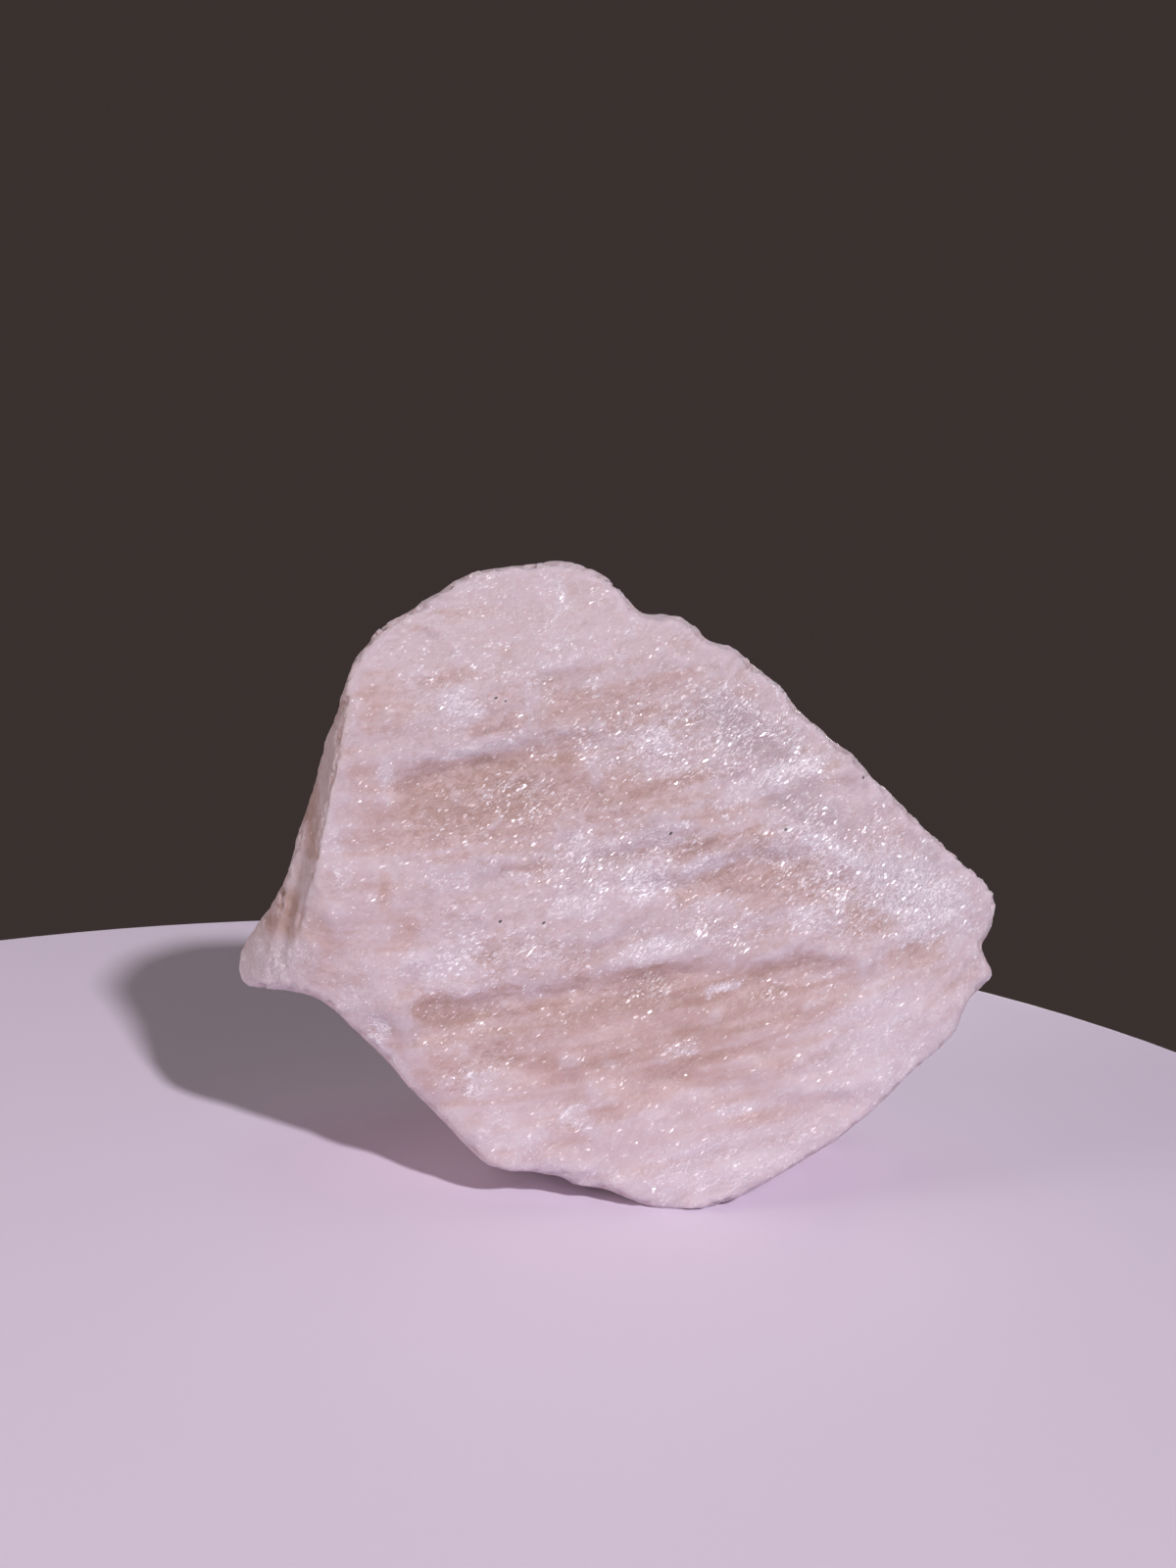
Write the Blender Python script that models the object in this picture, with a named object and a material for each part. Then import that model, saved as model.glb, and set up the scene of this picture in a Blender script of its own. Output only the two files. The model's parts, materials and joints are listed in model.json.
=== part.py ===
"""Raw morganite: one broken piece of cloudy pink beryl that stands on a small flat at its lower edge.

The stone is drawn upright first, in millimetres: x to the right, y back into the stone and z up, with
the broad front face at y = 0. It is then leaned back, set down on its resting flat and made metres.
"""

import math

import bmesh
import bpy
from mathutils import Matrix, Vector, noise
from mathutils.bvhtree import BVHTree

METRES = 0.001

# The outline is what the stone shows from this far in front of its broad face.
EYE_DISTANCE = 200.0
LEAN_BACK = math.radians(12.0)
# The point of the upright stone that comes down on the origin, at the middle of the resting flat.
REST_POINT = Vector((5.0, 16.0, -40.3))
EYE = Vector((0.0, -EYE_DISTANCE, 0.0))
STONE_DEPTH = 33.0

SKIN_VOXEL = 0.6
# The skin is thinned to this many triangles before the resting flat is cut.
SKIN_TRIANGLES = 10300
# The vertex group of the walls behind the rim, and how many rounds of smoothing it gets.
WALLS = "walls"
WALL_SMOOTHING = 12
WHITE_PINK = (0.66, 0.50, 0.51, 1.0)

# The outline, clockwise from the rounded top: (right, up) from the middle of the view.
OUTLINE = (
    # rounded top and the first dip of the right shoulder
    (-4.8, 23.0), (-2.5, 23.0), (-0.8, 22.7), (1.0, 21.8), (3.2, 20.3), (4.4, 18.4), (5.4, 17.3),
    (6.0, 17.2), (8.5, 17.6), (9.8, 17.1), (11.2, 16.0), (11.6, 14.9), (12.3, 14.4), (13.4, 14.6),
    (14.7, 14.3), (15.8, 13.4), (17.1, 11.9), (17.7, 11.8), (18.9, 10.9), (20.1, 9.8), (20.6, 8.7),
    # the long straight edge down to the right tip
    (21.6, 7.4), (23.3, 6.2), (24.8, 4.8), (25.7, 3.9), (26.6, 3.5), (27.8, 2.3), (29.2, 0.7),
    (31.0, -0.8), (32.6, -2.7), (34.2, -4.2), (36.2, -5.9), (38.2, -7.7), (40.2, -9.4), (41.5, -10.9),
    # the notched right tip
    (42.1, -11.8), (41.7, -12.8), (41.5, -14.5), (40.9, -15.4), (40.1, -16.0), (40.4, -17.2),
    (41.1, -18.4), (41.6, -19.6), (40.8, -20.3), (39.9, -21.0),
    # the lower right edge
    (38.8, -22.5), (38.2, -23.8), (37.9, -25.2), (36.6, -26.5), (35.0, -27.9), (33.3, -29.3),
    (31.8, -30.8), (30.2, -32.5), (28.4, -34.0), (27.0, -35.3), (25.8, -36.4), (23.8, -37.6),
    (21.8, -38.7), (20.0, -39.7), (18.0, -41.0), (16.0, -42.0), (13.5, -43.0),
    # the foot, and the small steps where it is chipped
    (11.5, -43.4), (9.0, -43.7), (6.6, -43.4), (4.8, -42.8), (3.4, -42.1), (2.0, -41.5), (0.9, -41.2),
    (-1.0, -41.2), (-1.8, -40.8), (-2.1, -40.1), (-4.0, -40.1), (-6.0, -39.7), (-8.4, -39.6),
    # the lower left edge, up to the blunt left tip
    (-10.4, -38.9), (-11.8, -37.7), (-13.4, -36.1), (-14.6, -34.8), (-16.6, -32.8), (-18.4, -31.1),
    (-20.0, -29.0), (-21.6, -27.4), (-23.6, -25.5), (-25.4, -23.7), (-26.6, -22.5), (-28.2, -21.7),
    (-30.4, -21.3), (-33.0, -21.1), (-35.2, -20.8), (-36.1, -19.8), (-36.2, -18.2),
    # the left side, up to the top
    (-35.6, -16.7), (-34.6, -14.9), (-33.4, -13.3), (-32.2, -11.6), (-31.1, -9.6), (-30.5, -7.8),
    (-30.0, -5.6), (-29.4, -3.8), (-28.6, -1.2), (-27.9, 1.2), (-27.4, 3.4), (-26.8, 5.2),
    (-26.2, 6.3), (-25.7, 7.8), (-25.2, 9.6), (-24.6, 11.4), (-23.8, 12.9), (-23.0, 14.2),
    (-22.0, 15.1), (-21.2, 16.1), (-20.0, 16.9), (-18.6, 17.5), (-17.6, 18.3), (-16.8, 19.0),
    (-15.6, 19.6), (-14.9, 19.8), (-14.2, 20.7), (-12.5, 21.5), (-11.0, 22.0), (-8.6, 22.3),
    (-7.0, 22.6), (-6.2, 22.4),
)

# Each facet of the broken block is a plane through three points (right, back, up).
LEFT_TIP = ((-28.2, 0.5, -8.5), (-24.5, 0.0, -21.0), (-33.0, 6.0, -19.0))
LEFT_BACK = ((-14.0, 31.0, -30.0), (-12.0, 29.0, 0.0), (-36.0, 19.5, -18.0))
BODY_FACETS = (
    # left side, left tip, right front, top front
    ((-24.1, 0.0, 12.0), (-28.6, 0.0, -12.0), (-32.6, 12.0, -8.0)),
    LEFT_TIP,
    ((24.0, 0.0, 6.0), (27.0, 0.0, -34.0), (42.0, 6.0, -14.0)),
    ((-22.0, 0.0, 9.0), (16.0, 0.0, 11.5), (-4.0, 4.2, 23.0)),
    # upper right front, lower left front
    ((10.0, 0.0, 13.5), (34.0, 0.0, -9.0), (26.0, 2.4, 6.5)),
    ((-26.0, 0.0, -14.0), (-12.0, 0.0, -35.5), (-25.4, 2.6, -23.7)),
    # the back, from the top round to the right, the left and the foot
    ((-20.0, 30.0, -14.0), (20.0, 28.0, -14.0), (-4.0, 11.5, 23.0)),
    ((0.0, 26.0, 8.0), (24.0, 24.0, -14.0), (28.0, 10.0, 3.0)),
    ((12.0, 33.0, -30.0), (14.0, 30.0, -2.0), (42.0, 13.5, -14.0)),
    ((24.0, 31.0, -34.0), (38.0, 18.0, -23.0), (36.0, 10.0, -31.0)),
    ((-26.0, 21.0, -6.0), (-8.0, 25.0, 6.0), (-22.0, 11.0, 14.5)),
    LEFT_BACK,
    ((-8.0, 34.0, -37.5), (-24.0, 26.0, -24.0), (-21.0, 15.0, -30.0)),
    ((-6.0, 30.0, -40.0), (18.0, 30.0, -40.0), (6.0, 34.0, -30.0)),
)
STONE_MIDDLE = Vector((3.0, 13.0, -10.0))

# The blunt toe at the left stands out past the left side, and is closed off inside the stone.
TOE_REACH = (-19.5, -3.0)
TOE_ROOT = ((-16.0, -5.0), (-14.0, -26.0))
TOE_FRONT = 0.5
TOE_FACE = ((-29.0, 5.4, -10.0), (-29.0, 5.8, -25.0), (-37.0, 8.4, -19.0))
TOE_SIDE = ((-28.5, 0.5, -8.5), (-29.5, 1.0, -13.9), (-36.9, 14.0, -16.3))
TOE_BACK = ((-39.5, 17.0, -22.0), (-24.0, 21.0, -25.0), (-20.0, 12.0, -31.5))
TOE_MIDDLE = Vector((-26.0, 14.0, -18.0))

# Steps in the broad face: a line of (right, up) points, how far the ground below it drops back, and
# how far down the drop fades. A negative drop lies above the line instead.
LEDGES = (
    (((-19.0, -22.3), (-13.0, -21.6), (-6.0, -21.2), (0.0, -20.3), (5.0, -19.0), (16.0, -18.5),
      (24.0, -17.6), (29.0, -18.6)), 1.15, 11.0),
    (((13.0, -0.6), (20.0, 1.6), (27.0, 3.8)), -1.0, 7.0),
    (((3.0, -10.8), (10.0, -9.6), (16.0, -6.8), (24.0, -7.0), (30.0, -10.0)), 0.8, 5.0),
    (((-21.0, 0.6), (-13.0, 2.8), (-4.0, 5.0), (7.0, 5.4)), 0.8, 6.0),
    (((-12.0, -9.4), (-2.0, -8.0), (9.0, -5.6), (14.0, -4.4)), 0.45, 3.5),
    (((-8.0, -38.2), (-4.0, -39.0), (1.2, -40.0), (2.4, -41.2), (4.4, -42.4)), 1.2, 4.0),
    (((-7.0, 11.0), (4.0, 11.6), (14.0, 12.4)), 0.5, 4.0),
    (((2.0, -30.5), (10.0, -29.5), (20.0, -33.0)), 0.5, 5.0),
)
LEDGE_EDGE = 0.35

# The growth layers rise gently to the right, and the chips lie along them.
LAYER_RISE = 0.17
UNDER_SKIN = 0.8


def seen_size(depth):
    """How much wider a slice at this depth is than it looks from the eye."""
    return (EYE_DISTANCE + depth) / EYE_DISTANCE


def outline_ring(bm, outline, depth, inset):
    """An outline as a closed face at one depth, shrunk towards the stone's middle by inset."""
    middle = Vector((STONE_MIDDLE.x, STONE_MIDDLE.z))
    corners = []
    for point in outline:
        flat = middle.lerp(Vector(point), 1.0 - inset) * seen_size(depth)
        corners.append(bm.verts.new((flat.x, depth, flat.y)))
    return bm.faces.new(corners)


def block(bm, outline, front_depth):
    """An uncut block: the outline carried back from its front, a little smaller at the far end."""
    front = outline_ring(bm, outline, front_depth, 0.0)
    middle = outline_ring(bm, outline, 14.0, 0.004)
    back = outline_ring(bm, outline, STONE_DEPTH, 0.03)
    for near, far in ((front, middle), (middle, back)):
        bmesh.ops.bridge_loops(bm, edges=list(near.edges) + list(far.edges))
    bmesh.ops.delete(bm, geom=[middle], context="FACES_ONLY")
    bmesh.ops.recalc_face_normals(bm, faces=bm.faces)


def chop(bm, corners, inside):
    """Knocks off what lies outside the plane through three points, and closes the cut."""
    a, b, c = (Vector(corner) for corner in corners)
    normal = (b - a).cross(c - a).normalized()
    if normal.dot(inside - a) > 0:
        normal.negate()
    everything = list(bm.verts) + list(bm.edges) + list(bm.faces)
    cut = bmesh.ops.bisect_plane(bm, geom=everything, plane_co=a, plane_no=normal, clear_outer=True)
    rim = [edge for edge in cut["geom_cut"] if isinstance(edge, bmesh.types.BMEdge)]
    bmesh.ops.holes_fill(bm, edges=rim)


def broken_block(name, outline, front_depth, facets, inside):
    bm = bmesh.new()
    block(bm, outline, front_depth)
    for corners in facets:
        chop(bm, corners, inside)
    bmesh.ops.triangulate(bm, faces=bm.faces)
    mesh = bpy.data.meshes.new(name)
    bm.to_mesh(mesh)
    bm.free()
    obj = bpy.data.objects.new(name, mesh)
    bpy.context.scene.collection.objects.link(obj)
    return obj


def toe():
    """The toe's own block, which the stone's body is joined to."""
    right_of_toe, top_of_toe = TOE_REACH
    outer = [point for point in OUTLINE if point[0] < right_of_toe and point[1] < top_of_toe]
    facets = (TOE_FACE, TOE_SIDE, LEFT_BACK, TOE_BACK)
    guide = broken_block("toe_guide", outer + list(TOE_ROOT), TOE_FRONT, facets, TOE_MIDDLE)
    guide.hide_render = True
    guide.display_type = "WIRE"
    return guide


def applied(obj):
    """Turns the object's modifiers into plain mesh."""
    graph = bpy.context.evaluated_depsgraph_get()
    mesh = bpy.data.meshes.new_from_object(obj.evaluated_get(graph))
    obj.modifiers.clear()
    obj.data = mesh


def smooth_step(low, high, value):
    t = min(1.0, max(0.0, (value - low) / (high - low)))
    return t * t * (3.0 - 2.0 * t)


def ledge_drop(ledge, right, up, jag):
    """How far one ledge sets the broad face back at a point of the outline's plane."""
    line, drop, fade = ledge
    for (x0, z0), (x1, z1) in zip(line, line[1:]):
        if not x0 <= right < x1:
            continue
        below = z0 + (z1 - z0) * (right - x0) / (x1 - x0) + jag - up
        side = below if drop > 0 else -below
        ends = smooth_step(0.0, 3.0, right - line[0][0]) * smooth_step(0.0, 3.0, line[-1][0] - right)
        step = smooth_step(-LEDGE_EDGE, LEDGE_EDGE, side)
        return abs(drop) * step * math.exp(-max(0.0, side) / fade) * ends
    return 0.0


def chipped(place, size, slant):
    """Relief of a break: cells of this size (right, back, along the rise), each tilted its own way."""
    rise = place.z - LAYER_RISE * place.x
    spot = Vector((place.x / size.x, place.y / size.y, rise / size.z))
    centre = noise.voronoi(spot)[1][0]
    tilt = 2.0 * noise.cell_vector(centre * 31.0) - Vector((1.0, 1.0, 1.0))
    away = spot - centre
    return slant * (away.x * tilt.x + away.y * tilt.y + away.z * tilt.z)


def front_relief(place):
    """The broad face is calmer than the breaks round it, and stepped by its ledges."""
    scale = seen_size(place.y)
    right = place.x / scale
    up = place.z / scale
    jag = 0.9 * noise.noise(place / 2.6)
    drop = sum(ledge_drop(ledge, right, up, jag) for ledge in LEDGES)
    swell = 0.45 * noise.noise(place / 12.0)
    facets = chipped(place, Vector((9.0, 6.0, 3.6)), 0.65) + chipped(place, Vector((3.4, 3.0, 1.8)), 0.28)
    return swell + facets - drop


def back_relief(place):
    """The hidden breaks: broad swells, flat chips of two sizes and a little grain."""
    swell = 1.1 * noise.noise(place / 14.0 + Vector((4.0, 1.0, 7.0)))
    large = chipped(place, Vector((15.0, 12.0, 8.0)), 1.5)
    small = chipped(place, Vector((5.0, 4.6, 2.6)), 0.4)
    return swell + large + small + 0.1 * noise.noise(place / 2.0)


def wall_relief(place, behind):
    """The edges seen from the eye stay put, and the break falls away inwards further back."""
    deep = smooth_step(3.5, 10.0, behind)
    ragged = -0.5 * abs(chipped(place, Vector((3.0, 3.0, 2.4)), 0.8))
    return ragged + deep * (0.6 * back_relief(place) - 1.1)


def carve(obj):
    """Moves the front and back along the lines of sight, which keeps the outline, and walls inwards.

    The walls behind the rim are put in a vertex group, for even_walls.
    """
    bm = bmesh.new()
    bm.from_mesh(obj.data)
    skin = BVHTree.FromBMesh(bm)
    moves = []
    shares = []
    for vertex in bm.verts:
        place = vertex.co
        normal = vertex.normal
        under = place - UNDER_SKIN * normal
        sight = (under - EYE).normalized()
        facing = -normal.dot(sight)
        first = skin.ray_cast(EYE, sight)[0]
        behind = (under - first).length if first else 0.0
        forward = smooth_step(0.15, 0.5, facing)
        backward = smooth_step(0.0, 0.4, -facing)
        along = backward * back_relief(place) if backward else -forward * front_relief(place)
        wall = 1.0 - forward - backward
        shares.append(wall * smooth_step(3.0, 7.0, behind))
        sideways = wall * wall_relief(place, behind)
        moves.append(along * sight + sideways * normal)
    for vertex, move in zip(bm.verts, moves):
        vertex.co += move
    bm.to_mesh(obj.data)
    bm.free()
    walls = obj.vertex_groups.new(name=WALLS)
    for index, share in enumerate(shares):
        walls.add([index], share, "REPLACE")


def even_walls(obj):
    """Takes out the flutes that the outline's corners leave along the walls."""
    smooth = obj.modifiers.new("even walls", "SMOOTH")
    smooth.factor = 0.5
    smooth.iterations = WALL_SMOOTHING
    smooth.vertex_group = WALLS
    applied(obj)


def voxel_skin(obj, voxel):
    remesh = obj.modifiers.new("even skin", "REMESH")
    remesh.mode = "VOXEL"
    remesh.voxel_size = voxel
    applied(obj)


def thinned(obj):
    triangles = sum(len(face.vertices) - 2 for face in obj.data.polygons)
    decimate = obj.modifiers.new("fewer faces", "DECIMATE")
    decimate.ratio = SKIN_TRIANGLES / triangles
    decimate.use_collapse_triangulate = True
    applied(obj)


def set_down(obj):
    """Leans the stone back, brings its resting point to the origin and cuts the resting flat."""
    lean = Matrix.Rotation(-LEAN_BACK, 4, "X")
    place = Matrix.Scale(METRES, 4) @ lean @ Matrix.Translation(-REST_POINT)
    bm = bmesh.new()
    bm.from_mesh(obj.data)
    bmesh.ops.transform(bm, matrix=place, verts=bm.verts)
    everything = list(bm.verts) + list(bm.edges) + list(bm.faces)
    down = Vector((0.0, 0.0, -1.0))
    origin = Vector((0.0, 0.0, 0.0))
    cut = bmesh.ops.bisect_plane(bm, geom=everything, plane_co=origin, plane_no=down, clear_outer=True)
    rim = [edge for edge in cut["geom_cut"] if isinstance(edge, bmesh.types.BMEdge)]
    for corner in {vertex for edge in rim for vertex in edge.verts}:
        corner.co.z = 0.0
    bmesh.ops.holes_fill(bm, edges=rim)
    bmesh.ops.recalc_face_normals(bm, faces=bm.faces)
    bmesh.ops.triangulate(bm, faces=bm.faces)
    bm.to_mesh(obj.data)
    bm.free()


def morganite_material():
    material = bpy.data.materials.new("cloudy pink beryl")
    material.use_nodes = True
    shader = material.node_tree.nodes["Principled BSDF"]
    shader.inputs["Base Color"].default_value = WHITE_PINK
    shader.inputs["Roughness"].default_value = 0.45
    shader.inputs["Metallic"].default_value = 0.0
    return material


def main():
    for obj in list(bpy.data.objects):
        bpy.data.objects.remove(obj)
    stone = broken_block("morganite", OUTLINE, 0.0, BODY_FACETS, STONE_MIDDLE)
    join = stone.modifiers.new("toe", "BOOLEAN")
    join.operation = "UNION"
    join.object = toe()
    applied(stone)
    voxel_skin(stone, SKIN_VOXEL)
    carve(stone)
    even_walls(stone)
    voxel_skin(stone, SKIN_VOXEL)
    thinned(stone)
    set_down(stone)
    stone.data.materials.clear()
    stone.data.materials.append(morganite_material())


main()
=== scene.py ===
import json
import math

import bpy
import numpy as np
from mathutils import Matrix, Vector, noise

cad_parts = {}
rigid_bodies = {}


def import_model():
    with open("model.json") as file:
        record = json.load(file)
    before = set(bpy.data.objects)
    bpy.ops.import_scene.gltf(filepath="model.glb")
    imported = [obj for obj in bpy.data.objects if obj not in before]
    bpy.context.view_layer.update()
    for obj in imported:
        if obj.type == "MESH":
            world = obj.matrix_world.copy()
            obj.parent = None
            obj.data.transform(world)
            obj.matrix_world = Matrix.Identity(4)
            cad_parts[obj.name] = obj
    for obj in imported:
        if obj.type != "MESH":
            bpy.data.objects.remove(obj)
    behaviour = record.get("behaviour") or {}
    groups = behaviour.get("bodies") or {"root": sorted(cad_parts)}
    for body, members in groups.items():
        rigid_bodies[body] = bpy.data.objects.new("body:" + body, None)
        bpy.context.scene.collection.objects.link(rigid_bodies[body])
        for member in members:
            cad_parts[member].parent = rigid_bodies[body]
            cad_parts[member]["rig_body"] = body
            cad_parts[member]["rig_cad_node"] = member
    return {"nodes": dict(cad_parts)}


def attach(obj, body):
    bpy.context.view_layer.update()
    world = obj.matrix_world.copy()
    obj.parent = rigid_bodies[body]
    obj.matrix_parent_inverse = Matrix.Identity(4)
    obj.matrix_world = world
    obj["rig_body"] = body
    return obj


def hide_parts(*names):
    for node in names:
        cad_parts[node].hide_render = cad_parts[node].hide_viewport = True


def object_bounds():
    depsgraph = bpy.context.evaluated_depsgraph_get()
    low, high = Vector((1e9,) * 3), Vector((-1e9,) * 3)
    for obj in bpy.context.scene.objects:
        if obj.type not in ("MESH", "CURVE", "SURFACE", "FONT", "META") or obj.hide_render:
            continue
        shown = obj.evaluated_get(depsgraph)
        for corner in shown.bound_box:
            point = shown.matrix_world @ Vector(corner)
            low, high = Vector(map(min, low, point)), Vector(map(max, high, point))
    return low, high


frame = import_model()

cadLow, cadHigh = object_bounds()  # the CAD box, before anything is added
mm = 0.001


def deselectAll():
    bpy.ops.object.select_all(action="DESELECT")


def makeActive(obj):
    deselectAll()
    obj.select_set(True)
    bpy.context.view_layer.objects.active = obj


def applyModifier(obj, kind, name, **settings):
    makeActive(obj)
    modifier = obj.modifiers.new(name, kind)
    for key, value in settings.items():
        setattr(modifier, key, value)
    bpy.ops.object.modifier_apply(modifier=name)


# The broad face is drawn as it shows from one point in front of it: right and up, in mm, from the
# middle of the view. Zones of colour and grain are placed on the stone with the same two numbers.
face = {
    "eye": (-5.0, -202.9, 84.33),      # mm
    "lean": math.radians(12.0),
    "distance": 200.0,                 # mm, from the eye to the broad face
}
faceRight = Vector((1.0, 0.0, 0.0))
faceUp = Vector((0.0, math.sin(face["lean"]), math.cos(face["lean"])))
faceIn = Vector((0.0, math.cos(face["lean"]), -math.sin(face["lean"])))


# Camera

camera = {
    "lens": 45.0,         # mm
    "sensor": 36.0,       # mm
    "nearest": 0.005,     # metres
}

deselectAll()
bpy.ops.object.camera_add(location=Vector(face["eye"]) * mm,
                          rotation=(math.pi / 2 - face["lean"], 0.0, 0.0))
viewCamera = bpy.context.object
viewCamera.name = "viewCamera"
viewCamera.data.lens = camera["lens"]
viewCamera.data.sensor_width = camera["sensor"]
viewCamera.data.clip_start = camera["nearest"]
bpy.context.scene.camera = viewCamera
print("camera ready")


# The stone

stone = {
    "name": "morganite_stone",
    "node": "morganite",
    "slot": "morganite",
    "body": "root",
    "weld": 0.001,            # mm, points of the CAD mesh that are closer than this become one
    "skinVoxel": 0.405,       # mm, about 190,000 triangles
    "smoothing": 0.5,         # how far a point goes in one round of smoothing
    "relax": 1,               # rounds of it, which take out the CAD triangles
    "evenFlats": 14,          # more rounds, away from the edges only
    "edgeRounds": 30,         # rounds of evening out by which the edges are found
    "fineEdgeRounds": 14,         # and those for the fine edges, which are painted pale as a rim glow, and for the hollows, which are painted a deeper pink as shade
    "bandRise": 0.175,        # how the growth bands climb to the right
    "bandFan": 0.0026,        # and how much steeper they get on the way
    "bandStart": 5.0,         # mm left of the origin, from where they do
    "bandBack": 0.12,         # how the bands climb towards the back
    "chips": (                # size along, across and up the bands in mm, and about how deep in mm
        ((6.0, 4.5, 4.0), 0.12),
        ((2.4, 2.0, 1.9), 0.11),
    ),
    "backChips": ((4.2, 3.6, 2.8), 0.28),
    "rimBites": (             # the same for the small bites along the rim
        ((2.6, 2.6, 2.0), 1.2),
        ((1.3, 1.3, 1.1), 0.8),
    ),
    "rimChips": 1.05,         # how strong those bites are
    "chipShuffle": 31.0,      # gives every chip another tilt
    "steps": (1.7, 0.07),     # mm from step to step up the bands, and how high each one is
    "stepDrop": 0.22,         # the part of a step in which it drops off
    "grain": 0.10,            # mm, the sugary grain of the frosted zones
    "plainGrain": 0.3,        # the share of it that all of the stone has
    "frostGrain": 0.7,        # and what is added where it is frosted or glints
    "satinCalm": 0.75,        # the share of the relief that smooth zones lose
    "satinRim": 0.6,          # and the share of the bites
    "glintSatin": 0.8,        # the share of the smoothness that glinting zones lose
    "inset": 0.05,            # mm that the skin is drawn in, so that little is cut off at the CAD box
    "clearWander": 0.5,       # clear zones stray less than the others
    "streakBlush": (0.35, 0.06),  # how much the streaks change the pink, where it is and anywhere
    "hiddenFrost": 0.7,       # how strong the white is on the hidden sides
    "leastGlint": 0.22,       # how much the plain stone glints
    "speckAside": 50.0,       # mm, keeps the dark specks off what doesn't face the front
}

# Where a share starts, and where it is full
fades = {
    "front": (0.1, 0.6),            # how squarely the skin faces the front, from -1 to 1
    "back": (-0.1, 0.5),            # and how squarely it faces away
    "edge": (0.10, 0.35),           # mm that a point stands out from those around it, or lies in
    "rim": (0.04, 0.20),            # mm that the rim stands out where it is bitten
    "rimTurn": (-0.85, -0.60),      # how far it has turned away, and -1 is straight to the front
    "rest": (0.05, 0.6),            # mm above the table
    "stepDrop": (0.0, stone["stepDrop"]),
    "stepped": (-0.15, 0.35),       # noise
    "shown": (14.0, 6.0),           # mm behind the broad face
    "toe": (-27.0, -30.0),          # mm to the right, so this is the far left
    "hiddenBlush": (-0.15, 0.75),   # noise
    "hiddenFrost": (0.1, 0.6),      # noise
    "paintedRimGlow": (0.02, 0.14),           # mm that an edge stands out, where it is painted pale as the glow of light through the thin rim
    "hollow": (0.02, 0.12),         # mm that a hollow lies in, where it is painted a deeper pink as shade
}

# Noise on the stone: size along, across and up the bands in mm, seed, and strength
stoneNoise = {
    "wander": ((7.0, 5.0, 3.0), 3.0, 1.2),       # mm that the zones stray to the side
    "wanderUp": ((6.0, 5.0, 2.5), 9.0, 0.8),     # and up
    "sway": ((8.0, 6.0, 4.0), 21.0, 1.1),        # how many steps the treads stray
    "fineSway": ((1.6, 1.6, 1.2), 33.0, 0.35),
    "stepped": ((11.0, 8.0, 3.5), 41.0, 1.0),    # where there are treads
    "grain": ((0.9, 0.8, 0.7), 5.0, 1.0),
    "bands": ((26.0, 18.0, 6.0), 1.0, 1.0),      # pink and white bands of the hidden sides
    "fineBands": ((12.0, 9.0, 2.2), 7.0, 0.5),
    "streaks": ((9.0, 6.0, 0.9), 11.0, 1.0),
}

# How an oval zone ends, how flat its middle is, and how much of it adds up with its neighbours
ovals = {
    "steepness": 0.7,
    "flatness": 1.5,
    "overlap": 0.25,
}

# Zones on the broad face: (right, up, half length, half height, turn in degrees, strength)
blushZones = (
    # the upper part
    (-14.5, 11.0, 2.4, 1.2, 8, 0.35), (-21.5, 8.6, 3.0, 2.8, 5, 0.40), (2.0, 8.3, 10.0, 2.8, 8, 0.40),
    (-10.0, 5.2, 2.2, 0.8, 8, 0.35), (-11.0, -1.6, 10.5, 4.4, 5, 0.76), (-8.0, 1.0, 2.2, 1.6, 30, 0.95),
    (-3.0, 2.2, 2.2, 1.3, 8, 0.90), (3.0, -1.2, 7.5, 2.2, 8, 0.60), (11.2, 0.8, 1.4, 0.8, 10, 0.45),
    # the middle, and the right end
    (12.5, -3.2, 3.6, 1.1, 14, 0.60), (17.0, -5.5, 1.6, 1.0, -50, 0.60), (11.3, -6.3, 2.4, 0.9, 14, 0.75),
    (-5.8, -8.4, 4.2, 1.0, 6, 0.60), (10.0, -11.5, 1.1, 1.0, 0, 0.65), (17.8, -9.8, 7.5, 2.3, -6, 0.62),
    (26.0, -13.5, 5.0, 1.6, -14, 0.45), (29.8, -14.2, 1.0, 1.0, 0, 0.75), (33.5, -17.0, 2.8, 2.0, 20, 0.50),
    (-10.2, -18.2, 1.5, 0.8, 8, 0.60), (-20.6, -10.0, 0.6, 2.8, 0, 0.55), (-19.2, -15.4, 2.0, 1.4, 70, 0.45),
    # the broad lower zone under the scoop
    (5.0, -25.0, 21.0, 6.2, 9, 0.64), (-14.8, -23.2, 4.6, 1.7, -6, 1.00), (-9.0, -26.2, 2.2, 1.4, 0, 0.75),
    (5.8, -20.6, 4.0, 2.0, 12, 0.95), (18.0, -21.0, 5.0, 1.6, 13, 0.72), (-15.5, -27.2, 2.6, 1.8, 0, 0.60),
    (5.0, -31.3, 6.5, 0.9, 11, 0.50), (2.5, -33.7, 1.6, 0.8, 8, 0.45), (17.5, -34.0, 3.6, 0.8, 12, 0.30),
    (-2.0, -35.0, 2.2, 1.0, 8, 0.30), (10.0, -38.5, 5.0, 0.8, 8, 0.25),
    # the shaded left side, where part of the deeper pink is painted shade
    (-31.5, -12.8, 2.2, 2.2, 0, 1.00), (-28.0, -4.0, 1.3, 8.0, 12, 0.75), (-25.4, 7.0, 0.8, 6.0, 15, 0.50),
    (-27.5, -16.5, 2.0, 3.0, 0, 0.25),
)
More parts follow.
